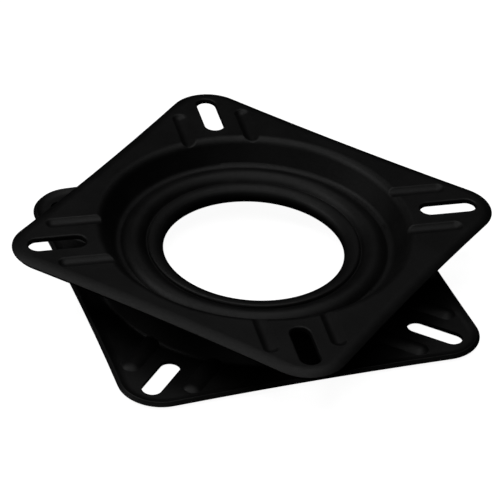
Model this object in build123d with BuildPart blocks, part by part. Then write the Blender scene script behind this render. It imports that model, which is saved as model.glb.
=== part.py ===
from build123d import *
import math
import os

# Swivel base for a camper seat, in millimetres and degrees.
# Two square steel pressings of one pattern, the upper turned over, run on a ball race round a hub ring.
# The origin is the centre of the lower plate's mounting face, and +Z points up to the seat.
# The lower plate's slots lie along X and Y, and the upper plate stands part of a turn round from it.

# The pressing, which is used twice
plate_side = 178.0
plate_corner_radius = 20.0
side_draw_in = 1.8
sheet = 2.5
swivel_height = 30.0

# Its outer edge, curled away from the mounting face
curl_bend = 9.0
curl_angle = 40.0
edge_round = 0.4

# Its dish, from the rim inwards, with bends measured on the mounting side
side_land = 12.8
rim_bend = 5.0
wall_slope = 60.0
foot_bend = 3.0
shelf_land = 0.8

# Its fixing slots, one on each diagonal, with edges rolled in by the punch
slot_rim_margin = 5.25
slot_corner_margin = 8.53
slot_width = 9.5
slot_roll = 0.9

# Its stiffening beads, a pair along each slot
bead_slot_gap = 7.55
bead_edge_margin = 2.0
bead_width = 7.0
bead_depth = 1.6
bead_roll = 1.2

# The ball race, which both plates share
ball_diameter = 7.94
ball_count = 24
race_clearance = 0.13
race_foot_bend = 1.0
plate_gap = 1.2

# The ball cage, a flat ring with a pocket for each ball
cage_clearance = 0.2
pocket_clearance = 0.15
cage_wall = 1.2

# The hub ring, rolled over the inner lips of both plates
hub_sheet = 1.5
hub_end_float = 0.1
hub_race_gap = 0.3
hub_cover = 1.9
hub_lip_clearance = 0.15
hub_shoulder_bend = 6.7
hub_shoulder_angle = 35.0
hub_edge_round = 1.2

# How far the upper plate is turned from the lower one
upper_turn = 39.5

corner_count = 4
corner_angle = 45.0
half_side = plate_side / 2
mid_plane = swivel_height / 2
slope = math.radians(wall_slope)

# Depths are measured from the mounting face towards the other plate
shelf_depth = mid_plane - plate_gap / 2 - sheet
race_bend = ball_diameter / 2 + race_clearance + sheet
race_depth = mid_plane - race_bend
race_reach = race_bend + race_foot_bend
race_turn = math.acos(1 - (shelf_depth - race_depth) / race_reach)
race_angle = math.degrees(race_turn)
wall_length = (shelf_depth - (rim_bend + foot_bend) * (1 - math.cos(slope))) / math.sin(slope)

# Radii are worked out from the plate's side inwards
dish_radius = half_side - side_land
wall_run = (rim_bend + foot_bend) * math.sin(slope) + wall_length * math.cos(slope)
race_foot = dish_radius - wall_run - shelf_land
race_half_width = race_reach * math.sin(race_turn)
race_radius = race_foot - race_half_width
hub_flange_radius = race_radius - race_half_width - hub_race_gap
lip_radius = hub_flange_radius - hub_cover
hub_height = 2 * sheet + plate_gap + hub_end_float + 2 * hub_sheet
hub_flat_start = lip_radius - hub_lip_clearance
hub_lean = math.radians(hub_shoulder_angle)
hub_shoulder_drop = hub_shoulder_bend * (1 - math.cos(hub_lean))
hub_throat_bend = (hub_height / 2 - hub_shoulder_drop) / math.cos(hub_lean)
hub_throat_angle = 180 - 2 * hub_shoulder_angle

curl_width = curl_bend * math.sin(math.radians(curl_angle))
flat_half_side = half_side - curl_width

corner_reach = math.sqrt(2) * (half_side - plate_corner_radius) + plate_corner_radius
slot_inner = dish_radius + slot_rim_margin
slot_outer = corner_reach - slot_corner_margin

bead_bend = (bead_width**2 / 4 + bead_depth**2) / (2 * bead_depth)
bead_rise = bead_bend - bead_depth
bead_offset = slot_width / 2 + bead_slot_gap + bead_width / 2
bead_tip = math.sqrt(2) * (flat_half_side - bead_width / 2 - bead_edge_margin) - bead_offset
bead_root = dish_radius - rim_bend - bead_depth - bead_rise

os.makedirs("parts", exist_ok=True)


def bead_bar(radius):
    """A round-ended bar along X, centred above the mounting face, that a bead follows."""
    with BuildPart() as bar:
        with BuildSketch(Plane.YZ.offset(bead_root)):
            with Locations((0, -bead_rise)):
                Circle(radius)
        extrude(amount=bead_tip - bead_root)
        with Locations((bead_tip, 0, -bead_rise)):
            Sphere(radius)
    return bar.part


def on_flange(edge):
    """Whether an edge lies on the mounting face, outside the rim of the dish."""
    middle = edge.center()
    return middle.Z < sheet / 4 and math.hypot(middle.X, middle.Y) > dish_radius + sheet


# The line of the dish on its mounting side, from the rim in to the lip, as radius and depth
with BuildLine() as dish_line:
    rim = JernArc((dish_radius, 0), (-1, 0), rim_bend, -wall_slope)
    wall = PolarLine(rim @ 1, wall_length, direction=rim % 1)
    foot = JernArc(wall @ 1, wall % 1, foot_bend, wall_slope)
    shelf = Line(foot @ 1, (race_foot, shelf_depth))
    outer_foot = JernArc(shelf @ 1, shelf % 1, race_foot_bend, race_angle)
    hump = JernArc(outer_foot @ 1, outer_foot % 1, race_bend, -2 * race_angle)
    inner_foot = JernArc(hump @ 1, hump % 1, race_foot_bend, race_angle)
    Line(inner_foot @ 1, (lip_radius, shelf_depth))

# The ridge that a bead raises on the side away from the mounting face
with BuildPart() as bead_ridge:
    add(bead_bar(bead_bend + sheet))
    split(bisect_by=Plane.XY.offset(sheet / 2), keep=Keep.TOP)

# The pressing, square to X and Y, with its mounting face down
with BuildPart() as pressing:
    with BuildSketch() as flange:
        with BuildLine():
            for side in range(corner_count):
                turn = 360 / corner_count * side
                start = Vector(flat_half_side, -flat_half_side).rotate(Axis.Z, turn)
                middle = Vector(flat_half_side - side_draw_in, 0).rotate(Axis.Z, turn)
                end = Vector(flat_half_side, flat_half_side).rotate(Axis.Z, turn)
                ThreePointArc(start, middle, end)
        make_face()
        fillet(flange.vertices(), plate_corner_radius - curl_width)
        edge_path = flange.wires()[0]
        Circle(dish_radius, mode=Mode.SUBTRACT)
    extrude(amount=sheet)
    with BuildSketch(Plane.XZ) as curl:
        with BuildLine():
            top = JernArc((flat_half_side - side_draw_in, 0), (1, 0), curl_bend, curl_angle)
            across = PolarLine(top @ 1, sheet, direction=(top % 1).rotate(Axis.Z, 90))
            under = JernArc(across @ 1, (top % 1) * -1, curl_bend - sheet, -curl_angle)
            Line(under @ 1, top @ 0)
        make_face()
        fillet(curl.vertices().sort_by(Axis.X)[-2:], edge_round)
    sweep(path=edge_path)
    with PolarLocations(0, corner_count, corner_angle):
        with Locations((0, bead_offset), (0, -bead_offset)):
            add(bead_ridge.part)
    with BuildSketch(Plane.XZ):
        with BuildLine():
            add(dish_line.line)
            Polyline((lip_radius, shelf_depth), (lip_radius, -sheet), (dish_radius, -sheet), (dish_radius, 0))
        make_face()
    revolve(axis=Axis.Z, mode=Mode.SUBTRACT)
    with BuildSketch(Plane.XZ):
        with BuildLine():
            add(dish_line.line)
            offset(amount=sheet, side=Side.RIGHT)
        make_face()
    revolve(axis=Axis.Z)
    with PolarLocations(0, corner_count, corner_angle):
        with Locations((0, bead_offset), (0, -bead_offset)):
            add(bead_bar(bead_bend), mode=Mode.SUBTRACT)
    fillet(pressing.edges(Select.LAST).filter_by(on_flange), bead_roll)
    with BuildSketch():
        with PolarLocations((slot_inner + slot_outer) / 2, corner_count, corner_angle):
            SlotOverall(slot_outer - slot_inner, slot_width)
    extrude(amount=sheet, mode=Mode.SUBTRACT)
    fillet(pressing.edges(Select.LAST).filter_by(on_flange), slot_roll)

with BuildPart(Plane.XY.rotated((0, 0, corner_angle))) as bottom_plate:
    add(pressing.part)
bottom_plate.part.label = "bottom_plate"
export_step(bottom_plate.part, "parts/bottom_plate.step")

# The upper plate is the same pressing, turned over so that its mounting face is on top
upper_x = Vector(1, 0, 0).rotate(Axis.Z, upper_turn + corner_angle)
with BuildPart(Plane(origin=(0, 0, swivel_height), x_dir=upper_x, z_dir=(0, 0, -1))) as top_plate:
    add(pressing.part)
top_plate.part.label = "top_plate"
export_step(top_plate.part, "parts/top_plate.step")

# The line of the hub ring's outer face, from its lower flange round the throat to its upper one
hub_floor = shelf_depth - hub_sheet
with BuildLine() as hub_line:
    low = Line((hub_flange_radius, hub_floor), (hub_flat_start, hub_floor))
    low_shoulder = JernArc(low @ 1, low % 1, hub_shoulder_bend, -hub_shoulder_angle)
    throat = JernArc(low_shoulder @ 1, low_shoulder % 1, hub_throat_bend, -hub_throat_angle)
    high_shoulder = JernArc(throat @ 1, throat % 1, hub_shoulder_bend, -hub_shoulder_angle)
    PolarLine(high_shoulder @ 1, hub_flange_radius - hub_flat_start, direction=high_shoulder % 1)

# The hub ring is a strip rolled to a C outwards, so that its flanges hold both lips
with BuildPart() as hub_ring:
    with BuildSketch(Plane.XZ) as hub_section:
        with BuildLine():
            add(hub_line.line)
            offset(amount=hub_sheet, side=Side.RIGHT)
        make_face()
        hub_ends = hub_section.vertices().group_by(Axis.X)[-1].sort_by(Axis.Y)
        fillet((hub_ends[0], hub_ends[-1]), hub_edge_round)
    revolve(axis=Axis.Z)
hub_ring.part.label = "hub_ring"
export_step(hub_ring.part, "parts/hub_ring.step")

# The cage keeps the balls apart, half way between the plates
cage_thickness = plate_gap - 2 * cage_clearance
pocket_radius = ball_diameter / 2 + pocket_clearance
cage_half_width = pocket_radius + cage_wall
with BuildPart() as ball_cage:
    with BuildSketch(Plane.XY.offset(mid_plane - cage_thickness / 2)):
        Circle(race_radius + cage_half_width)
        Circle(race_radius - cage_half_width, mode=Mode.SUBTRACT)
        with PolarLocations(race_radius, ball_count):
            Circle(pocket_radius, mode=Mode.SUBTRACT)
    extrude(amount=cage_thickness)
ball_cage.part.label = "ball_cage"
export_step(ball_cage.part, "parts/ball_cage.step")

for number in range(ball_count):
    ball_plane = Plane.XY.offset(mid_plane).rotated((0, 0, 360 / ball_count * number))
    with BuildPart(ball_plane) as ball:
        with Locations((race_radius, 0)):
            Sphere(ball_diameter / 2)
    ball.part.label = f"ball_{number + 1:02d}"
    export_step(ball.part, f"parts/{ball.part.label}.step")
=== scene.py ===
# %% [markdown]
# # A swivel seat base in black satin paint
#
# The object is a low turntable that goes between a camper's seat and its pedestal. Two square steel
# pressings run on a hidden ball race, and a rolled ring in the middle holds them together. The packed
# model already has its shape, bend by bend, so no piece is replaced here. This lesson is about what the
# camera sees of it: the view, the light, and the paint and metal with the small things that pressing,
# rolling and painting leave behind.

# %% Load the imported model
import math

import bpy
import numpy as np
from mathutils import Matrix, Vector

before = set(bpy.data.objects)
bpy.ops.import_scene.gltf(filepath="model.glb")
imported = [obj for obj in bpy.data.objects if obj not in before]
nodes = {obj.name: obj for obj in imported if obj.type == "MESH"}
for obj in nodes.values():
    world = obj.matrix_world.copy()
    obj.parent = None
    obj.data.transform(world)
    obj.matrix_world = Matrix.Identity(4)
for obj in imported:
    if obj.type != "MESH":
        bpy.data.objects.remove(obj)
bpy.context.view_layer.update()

# %% [markdown]
# ## The camera
#
# A product photograph like this one is taken from far off with a long lens, so that parallel edges stay
# nearly parallel. The camera stands about 1.5 m from the plates, 36 degrees above them, and is held a
# few degrees off level. Where it stands was worked out from the outline of both plates and the hole. A
# focal length in pixels becomes one in millimetres when it is multiplied by the sensor's width over the
# picture's width.

# %% Place the camera
PICTURE = 500
SENSOR = 36.0
FOCAL_PIXELS = 3200.0
ELEVATION = math.radians(35.66)
ROLL = math.radians(4.09)
DISTANCE = 1.5133
HEADING = math.radians(23.54)
AIM_PIXEL = (255.7, 222.47)
AIM = Vector((0.0, 0.0, 0.031))


def add_camera():
    """Looks along the heading and down by the elevation, rolled, with the aim point at the aim pixel.

    The camera stands back from the aim point along its view, and then moves sideways and down by as much
    of the picture as the aim pixel is off its middle.
    """
    ahead = Vector((-math.sin(HEADING) * math.cos(ELEVATION), math.cos(HEADING) * math.cos(ELEVATION),
                    -math.sin(ELEVATION)))
    level = Vector((math.cos(HEADING), math.sin(HEADING), 0.0))
    upright = level.cross(ahead)
    right = math.cos(ROLL) * level + math.sin(ROLL) * upright
    up = math.cos(ROLL) * upright - math.sin(ROLL) * level
    across = (AIM_PIXEL[0] - PICTURE / 2) / FOCAL_PIXELS
    down = (AIM_PIXEL[1] - PICTURE / 2) / FOCAL_PIXELS
    place = AIM - DISTANCE * (ahead + across * right - down * up)
    data = bpy.data.cameras.new("camera")
    data.sensor_width = SENSOR
    data.lens = SENSOR * FOCAL_PIXELS / PICTURE
    camera = bpy.data.objects.new("camera", data)
    turn = Matrix((right, up, -ahead)).transposed().to_4x4()
    camera.matrix_world = Matrix.Translation(place) @ turn
    bpy.context.scene.collection.objects.link(camera)
    bpy.context.scene.camera = camera
    return camera


camera = add_camera()
camera_place = tuple(round(value, 3) for value in camera.matrix_world.translation)
print("camera at", camera_place, "with a lens of", round(camera.data.lens, 1), "mm")

# %% [markdown]
# ## The floor
#
# The photograph has the part on pure white. Black paint mirrors whatever is bright, so a floor lit to
# white would fill the paint with grey. This floor gives off its own light for the camera, and is kept
# out of what the paint mirrors and of the light that reaches it. The softboxes can then be as dim as
# the paint needs, and the floor still takes their soft shadows.

# %% Add the floor
FLOOR_HALF = 6.0
FLOOR_GLOW = 0.95
FLOOR_TONE = 0.8
FLOOR_ROUGHNESS = 0.9


def add_floor():
    """A wide square sheet, at the height that the base rests on."""
    corners = [(-FLOOR_HALF, -FLOOR_HALF, 0.0), (FLOOR_HALF, -FLOOR_HALF, 0.0),
               (FLOOR_HALF, FLOOR_HALF, 0.0), (-FLOOR_HALF, FLOOR_HALF, 0.0)]
    mesh = bpy.data.meshes.new("floor")
    mesh.from_pydata(corners, [], [(0, 1, 2, 3)])
    floor = bpy.data.objects.new("floor", mesh)
    bpy.context.scene.collection.objects.link(floor)
    material = bpy.data.materials.new("floor_white")
    material.use_nodes = True
    shader = material.node_tree.nodes["Principled BSDF"]
    shader.inputs["Base Color"].default_value = (FLOOR_TONE, FLOOR_TONE, FLOOR_TONE, 1.0)
    shader.inputs["Roughness"].default_value = FLOOR_ROUGHNESS
    shader.inputs["Specular IOR Level"].default_value = 0.0
    shader.inputs["Emission Color"].default_value = (1.0, 1.0, 1.0, 1.0)
    shader.inputs["Emission Strength"].default_value = FLOOR_GLOW
    mesh.materials.append(material)
    floor.visible_glossy = False
    floor.visible_diffuse = False
    return floor


floor = add_floor()
print("floor", 2 * FLOOR_HALF, "m wide at height", floor.location.z)

# %% [markdown]
# ## The light
#
# Satin black shows its shape by soft highlights on every bend, and the photograph says where the light
# came from. The bends on the right of the dish and the left tip of the upper plate are the brightest,
# and the dish is darkest on its left, inside the wall. So the main softbox is on the left, a ring of
# weaker ones hangs overhead, and two faint ones stand low. Light adds up, so their powers were found by
# rendering the object under one softbox at a time and mixing those renders. The world itself gives no
# light. Each softbox is placed by the direction that it is seen in from the object: 0 degrees round is
# towards the camera, and 90 is to the object's right. Sizes are in metres and powers in watts.

# %% Add the softboxes
SOFTBOX_DISTANCE = 1.5
SOFTBOX_SIZE = 0.7
SOFTBOXES = {
    "left": {"azimuth": -90, "elevation": 45, "power": 2.15},
    "front_top": {"azimuth": 0, "elevation": 70, "power": 1.3},
    "back_top": {"azimuth": 180, "elevation": 70, "power": 1.3},
    "left_top": {"azimuth": -90, "elevation": 70, "power": 0.6},
    "right_top": {"azimuth": 90, "elevation": 70, "power": 0.45},
    "left_low": {"azimuth": -90, "elevation": 20, "power": 0.22},
    "front_low": {"azimuth": 0, "elevation": 20, "power": 0.22},
}
WORLD_STRENGTH = 0.0


def seen_at(azimuth, elevation):
    """The direction at an azimuth and an elevation in degrees, as a vector of length 1.

    The azimuth turns it on the level, from towards the camera round to the right, and the elevation
    lifts it from there.
    """
    toward = Vector((math.sin(HEADING), -math.cos(HEADING), 0.0))
    right = Vector((math.cos(HEADING), math.sin(HEADING), 0.0))
    round_angle = math.radians(azimuth)
    height_angle = math.radians(elevation)
    flat = math.cos(round_angle) * toward + math.sin(round_angle) * right
    return math.cos(height_angle) * flat + math.sin(height_angle) * Vector((0.0, 0.0, 1.0))


def add_softbox(name, azimuth, elevation, power):
    """A square area light at the given direction, turned to face the object."""
    data = bpy.data.lights.new(name, "AREA")
    data.size = SOFTBOX_SIZE
    data.energy = power
    light = bpy.data.objects.new(name, data)
    light.location = SOFTBOX_DISTANCE * seen_at(azimuth, elevation)
    light.rotation_euler = (-light.location).to_track_quat("-Z", "Y").to_euler()
    bpy.context.scene.collection.objects.link(light)
    return light


def add_world():
    """A world as bright as its strength says, and colours shown as they are, with no film curve."""
    world = bpy.data.worlds.new("studio")
    world.use_nodes = True
    world.node_tree.nodes["Background"].inputs["Strength"].default_value = WORLD_STRENGTH
    bpy.context.scene.world = world
    bpy.context.scene.view_settings.view_transform = "Standard"


add_world()
softboxes = [add_softbox(name, **values) for name, values in SOFTBOXES.items()]
print("softboxes:", ", ".join(softbox.name for softbox in softboxes))

# %% [markdown]
# ## Sums on the shader's numbers
#
# A finish is a little arithmetic on patterns: so much of this noise, less of it where the metal is
# flat. Written as separate nodes that arithmetic is hard to read, so a small class wraps a socket and
# lets Python's own signs add the Math nodes. A second class holds the material, and adds every other
# node through one method.

# %% Wrap a socket and a material
class Wire:
    """A number on its way through a material. Each sign between wires and numbers adds one Math node."""

    def __init__(self, finish, socket):
        self.finish = finish
        self.socket = socket

    def math(self, operation, first, second=0.0):
        """One Math node on two numbers, of which either may be a wire."""
        return self.finish.node("ShaderNodeMath", {"operation": operation}, {0: first, 1: second})

    def __add__(self, other):
        return self.math("ADD", self, other)

    __radd__ = __add__

    def __sub__(self, other):
        return self.math("SUBTRACT", self, other)

    def __rsub__(self, other):
        return self.math("SUBTRACT", other, self)

    def __mul__(self, other):
        return self.math("MULTIPLY", self, other)

    __rmul__ = __mul__

    def __truediv__(self, other):
        return self.math("DIVIDE", self, other)

    def __rtruediv__(self, other):
        return self.math("DIVIDE", other, self)

    def __abs__(self):
        return self.math("ABSOLUTE", self)

    def root(self):
        """The square root, which has no sign of its own."""
        return self.math("SQRT", self)


class Finish:
    """A material in the making. What is the same all over goes straight onto the shader's own sockets."""

    def __init__(self, name, constants):
        self.material = bpy.data.materials.new(name)
        self.material.use_nodes = True
        self.tree = self.material.node_tree
        self.shader = self.tree.nodes["Principled BSDF"]
        self.feed(self.shader, constants)

    def feed(self, node, sockets):
        """Links a wire to each named socket, or sets a plain value on it."""
        for socket, value in sockets.items():
            if isinstance(value, Wire):
                self.tree.links.new(value.socket, node.inputs[socket])
            else:
                node.inputs[socket].default_value = value

    def node(self, kind, settings, sockets, out=0):
        """Adds a node, its settings first and its sockets after them, and gives one of its outputs."""
        made = self.tree.nodes.new(kind)
        for setting, value in settings.items():
            setattr(made, setting, value)
        self.feed(made, sockets)
        return Wire(self, made.outputs[out])


print("numbers go through Wire, and every other node through Finish")

# %% [markdown]
# ## Places and directions on the metal
#
# Every pattern here reads Object coordinates, which are metres in the model's own frame, so a size in a
# pattern is a real size. Some marks on the real part don't lie in x, y and z: drawing a dish scores it
# outwards from the middle, and rolling a ring scores it round and round. So the helpers give the
# distance from the axis too. A place divided by that distance is a direction from the axis, and noise
# on the direction alone is the same all the way out, which makes streaks. Noise on distance and height
# alone makes rings, and a coordinate that is made ten times smaller first draws a pattern out tenfold.

# %% Write the helpers for places
DRAWN_OUT = 0.1


def place_on(finish):
    """The place on the piece, as a vector in metres."""
    return finish.node("ShaderNodeTexCoord", {}, {}, out="Object")


def split(finish, vector):
    """The three numbers of a vector."""
    separate = finish.node("ShaderNodeSeparateXYZ", {}, {"Vector": vector}).socket.node
    return [Wire(finish, output) for output in separate.outputs]


def join(finish, x, y, z):
    """A vector of three numbers."""
    return finish.node("ShaderNodeCombineXYZ", {}, {"X": x, "Y": y, "Z": z})


def from_axis(x, y):
    """The distance from the axis: the square root of x squared plus y squared."""
    return (x * x + y * y).root()


print("place helpers:", ", ".join(helper.__name__ for helper in (place_on, split, join, from_axis)))

# %% [markdown]
# ## Patterns and what they act on
#
# A pattern is a number from 0 to 1 that varies over the surface. It can mix two colours, or add to the
# roughness, or stand for a height that the Bump node turns into relief. Noise lies about one half, so a
# share of it that is added to the roughness would raise the whole surface. The swing below takes the
# half away first, and the finish keeps the roughness that was chosen for it. All four finishes of this
# object are made of these few parts.

# %% Write the helpers for patterns
MIDDLE = 0.5
# The Mix node's colour sockets go by number, because its other sockets have the same names
COLOUR_FACTOR = 0
COLOUR_A = 6
COLOUR_B = 7
COLOUR_RESULT = 2


def noise(finish, where, size, detail=2.0):
    """Smooth noise about one half, with spots about as large as the size given."""
    return finish.node("ShaderNodeTexNoise", {}, {"Vector": where, "Scale": 1 / size, "Detail": detail})


def step(finish, value, low, high):
    """A soft step: 0 below the low value, 1 above the high one, and a smooth slope between them."""
    return finish.node("ShaderNodeMapRange", {"interpolation_type": "SMOOTHSTEP"},
                       {"Value": value, "From Min": low, "From Max": high})


def swing(pattern, amount):
    """A swing about nothing: the pattern less one half, times the amount."""
    return (pattern - MIDDLE) * amount


def blend(finish, amount, one, other):
    """A colour between two, by an amount from 0 to 1."""
    sockets = {COLOUR_FACTOR: amount, COLOUR_A: (*one, 1.0), COLOUR_B: (*other, 1.0)}
    return finish.node("ShaderNodeMix", {"data_type": "RGBA"}, sockets, out=COLOUR_RESULT)


def surface(finish, colour, rough, height):
    """Feeds the shader a colour, a roughness and a height in metres as bump, and gives the material."""
    bump = finish.node("ShaderNodeBump", {}, {"Strength": 1.0, "Distance": 1.0, "Height": height})
    finish.feed(finish.shader, {"Base Color": colour, "Roughness": rough, "Normal": bump})
    return finish.material


print("pattern helpers:", ", ".join(helper.__name__ for helper in (noise, step, swing, blend, surface)))

# %% [markdown]
# ## The black paint
#
# Both plates and the hub ring wear one satin black coat, put on as powder or by dipping. Up close its
# skin isn't flat. It has the long soft dimples of orange peel, a finer grit between them, and slow
# clouds where the film is thin, which are a little duller and less black. A black this deep takes
# nearly all of its tone from gloss, so the coat has a very dark base and a wide, weak highlight, and
# the patterns act on its roughness and its relief more than on its colour. Sizes are written in
# millimetres and heights in microns, and both are worked out in metres.

# %% Mix the black paint
MILLIMETRE = 1e-3
MICRON = 1e-6
PAINT_BLACKS = ((0.003, 0.003, 0.003), (0.006, 0.006, 0.006))
PAINT_ROUGHNESS = 0.5
CLOUD_SIZE = 18 * MILLIMETRE
CLOUD_EDGES = (0.35, 0.65)
CLOUD_DULLING = 0.03
PEEL_SIZE = 1.7 * MILLIMETRE
PEEL_HEIGHT = 45 * MICRON
PEEL_DULLING = 0.15
GRIT_SIZE = 0.5 * MILLIMETRE
GRIT_HEIGHT = 12 * MICRON


def paint_skin(paint, place):
    """The bare coat: its black, its roughness and its height.

    Where the cloud noise is high the film is thin, which picks the lighter black. The roughness is the
    paint's own, plus a swing for the clouds and one for the peel. The height is the peel's share plus
    the grit's.
    """
    thin = step(paint, noise(paint, place, CLOUD_SIZE, detail=4.0), *CLOUD_EDGES)
    peel = noise(paint, place, PEEL_SIZE)
    grit = noise(paint, place, GRIT_SIZE)
    black = blend(paint, thin, *PAINT_BLACKS)
    rough = PAINT_ROUGHNESS + swing(thin, CLOUD_DULLING) + swing(peel, PEEL_DULLING)
    return black, rough, peel * PEEL_HEIGHT + grit * GRIT_HEIGHT


print("clouds are about", round(CLOUD_SIZE, 4), "m wide and the peel about", round(PEEL_SIZE, 4), "m")

# %% [markdown]
# ## The marks of the press
#
# The plates are mild steel, pressed cold before they were painted. The strokes of the draw show through
# the coat on the dish wall, outwards from the middle. The cut edges, round the slots and the rim, are
# sheared steel under the paint, with fine lines through the sheet, and they are duller. An edge is
# known by its facing: the faces of the sheet look up or down, and its edges look sideways. The radii of
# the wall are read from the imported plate, so the strokes stay on the wall.

# %% Paint the plates
HAIR = 0.1 * MILLIMETRE
WALL_FADE = 4.5 * MILLIMETRE
STREAK_ANGLE = 0.02
STREAK_HEIGHT = 40 * MICRON
STREAK_DULLING = 0.1
EDGE_TILT = (0.1, 0.3)
SHEAR_SIZE = 0.5 * MILLIMETRE
SHEAR_HEIGHT = 30 * MICRON
SHEAR_DULLING = 0.08


def dish_radii(plate):
    """The radii of the dish wall, at its foot and at its rim, in metres.

    The foot is the outermost of the upper plate's lowest points, and the rim is the innermost of its
    highest points. A point within a hair of the lowest or the highest counts as one of them.
    """
    flat = np.empty(len(plate.data.vertices) * 3)
    plate.data.vertices.foreach_get("co", flat)
    points = flat.reshape(-1, 3)
    radius = np.hypot(points[:, 0], points[:, 1])
    height = points[:, 2]
    foot = radius[height < height.min() + HAIR].max()
    rim = radius[height > height.max() - HAIR].min()
    return float(foot), float(rim)


def plate_paint(foot, rim):
    """The black coat, with draw strokes on the wall and shear lines on the cut edges.

    The wall's pattern is 1 from its foot to its rim and fades out past both. The edge's pattern is 1
    where the facing has next to no height. Each mark is multiplied by the pattern of the place that it
    belongs to, and added to the coat's roughness and height.
    """
    paint = Finish("plate_paint", {})
    place = place_on(paint)
    facing = paint.node("ShaderNodeTexCoord", {}, {}, out="Normal")
    x, y, z = split(paint, place)
    radius = from_axis(x, y)
    wall = step(paint, radius, foot - WALL_FADE, foot) * (1 - step(paint, radius, rim, rim + WALL_FADE))
    edge = 1 - step(paint, abs(split(paint, facing)[-1]), *EDGE_TILT)
    streak = noise(paint, join(paint, x / radius, y / radius, 0.0), STREAK_ANGLE, detail=4.0)
    shear = noise(paint, join(paint, x, y, z * DRAWN_OUT), SHEAR_SIZE)
    black, rough, height = paint_skin(paint, place)
    rough = rough + swing(streak, STREAK_DULLING) * wall + edge * SHEAR_DULLING
    height = height + streak * wall * STREAK_HEIGHT + shear * edge * SHEAR_HEIGHT
    return surface(paint, black, rough, height)


foot_radius, rim_radius = dish_radii(nodes["top_plate"])
plate_black = plate_paint(foot_radius, rim_radius)
wall_radii = [round(radius / MILLIMETRE, 1) for radius in (foot_radius, rim_radius)]
print("dish wall, in mm from the axis:", wall_radii)
print("the plates' paint has", len(plate_black.node_tree.nodes), "nodes")

# %% [markdown]
# ## The black of the hub ring
#
# The ring in the middle is rolled from a strip, and its tool leaves faint rings in the metal that the
# same black coat half fills. They run round the axis, so the pattern reads distance from the axis and
# height, and nothing else.

# %% Paint the hub ring
ROLL_SIZE = 0.7 * MILLIMETRE
ROLL_HEIGHT = 25 * MICRON
ROLL_DULLING = 0.15


def hub_paint():
    """The black coat, with the rings of rolling in its roughness and its height."""
    paint = Finish("hub_paint", {})
    place = place_on(paint)
    x, y, z = split(paint, place)
    rings = noise(paint, join(paint, from_axis(x, y), z, 0.0), ROLL_SIZE, detail=3.0)
    black, rough, height = paint_skin(paint, place)
    return surface(paint, black, rough + swing(rings, ROLL_DULLING), height + rings * ROLL_HEIGHT)


hub_black = hub_paint()
print("the hub's paint has", len(hub_black.node_tree.nodes), "nodes")

# %% [markdown]
# ## The steel of the balls
#
# The race runs in grease. Its balls are polished bearing steel, and what dulls them is the film of
# grease, which lies in smears and is warmer than the steel, and a few fine scratches. They roll round
# the race, so the scratches are drawn out sideways. The balls show only through the gap between the
# plates.

# %% Finish the balls
STEEL_TONES = ((0.72, 0.72, 0.74), (0.5, 0.46, 0.38))
STEEL_ROUGHNESS = 0.08
SMEAR_SIZE = 3 * MILLIMETRE
SMEAR_EDGES = (0.5, 0.65)
SMEAR_DULLING = 0.22
SCRATCH_SIZE = 0.25 * MILLIMETRE
SCRATCH_HEIGHT = 1 * MICRON
SCRATCH_DULLING = 0.06


def ball_steel():
    """Polished steel. Smears pick the duller, warmer tone, and scratches add a little roughness."""
    steel = Finish("ball_steel", {"Metallic": 1.0})
    place = place_on(steel)
    x, y, z = split(steel, place)
    smear = step(steel, noise(steel, place, SMEAR_SIZE, detail=3.0), *SMEAR_EDGES)
    scratch = noise(steel, join(steel, x * DRAWN_OUT, y * DRAWN_OUT, z), SCRATCH_SIZE)
    rough = STEEL_ROUGHNESS + smear * SMEAR_DULLING + scratch * SCRATCH_DULLING
    return surface(steel, blend(steel, smear, *STEEL_TONES), rough, scratch * SCRATCH_HEIGHT)


ball_metal = ball_steel()
print("the balls' steel has", len(ball_metal.node_tree.nodes), "nodes")

# %% [markdown]
# ## The nylon of the cage
#
# The cage that keeps the balls apart is natural nylon, a warm and slightly cloudy off-white with a
# faint grain from its mould. The same grease stains it, and a stain is wet, so it is glossier than the
# dry plastic.

# %% Finish the cage
NYLON_TONES = ((0.76, 0.74, 0.67), (0.62, 0.56, 0.42))
NYLON_ROUGHNESS = 0.55
NYLON_SPECULAR = 0.4
STAIN_EDGES = (0.45, 0.7)
STAIN_GLOSS = 0.2
GRAIN_SIZE = 0.3 * MILLIMETRE
GRAIN_HEIGHT = 6 * MICRON
GRAIN_DULLING = 0.06


def cage_nylon():
    """Off-white nylon. Stains pick the darker tone and take roughness away, and the grain adds some."""
    nylon = Finish("cage_nylon", {"Specular IOR Level": NYLON_SPECULAR})
    place = place_on(nylon)
    stain = step(nylon, noise(nylon, place, SMEAR_SIZE, detail=3.0), *STAIN_EDGES)
    grain = noise(nylon, place, GRAIN_SIZE)
    rough = NYLON_ROUGHNESS - stain * STAIN_GLOSS + grain * GRAIN_DULLING
    return surface(nylon, blend(nylon, stain, *NYLON_TONES), rough, grain * GRAIN_HEIGHT)


cage_plastic = cage_nylon()
print("the cage's nylon has", len(cage_plastic.node_tree.nodes), "nodes")

# %% [markdown]
# ## Each finish on its pieces
#
# The nodes keep their own meshes, so a finish only has to go into the material slots of the pieces that
# wear it.

# %% Put each finish on its pieces
WEARS = {
    "top_plate": plate_black,
    "bottom_plate": plate_black,
    "hub_ring": hub_black,
    "ball_cage": cage_plastic,
}

for name, node in nodes.items():
    for slot in node.material_slots:
        slot.material = WEARS.get(name, ball_metal)
print("finished", len(nodes), "nodes, of which", len(nodes) - len(WEARS), "are balls")
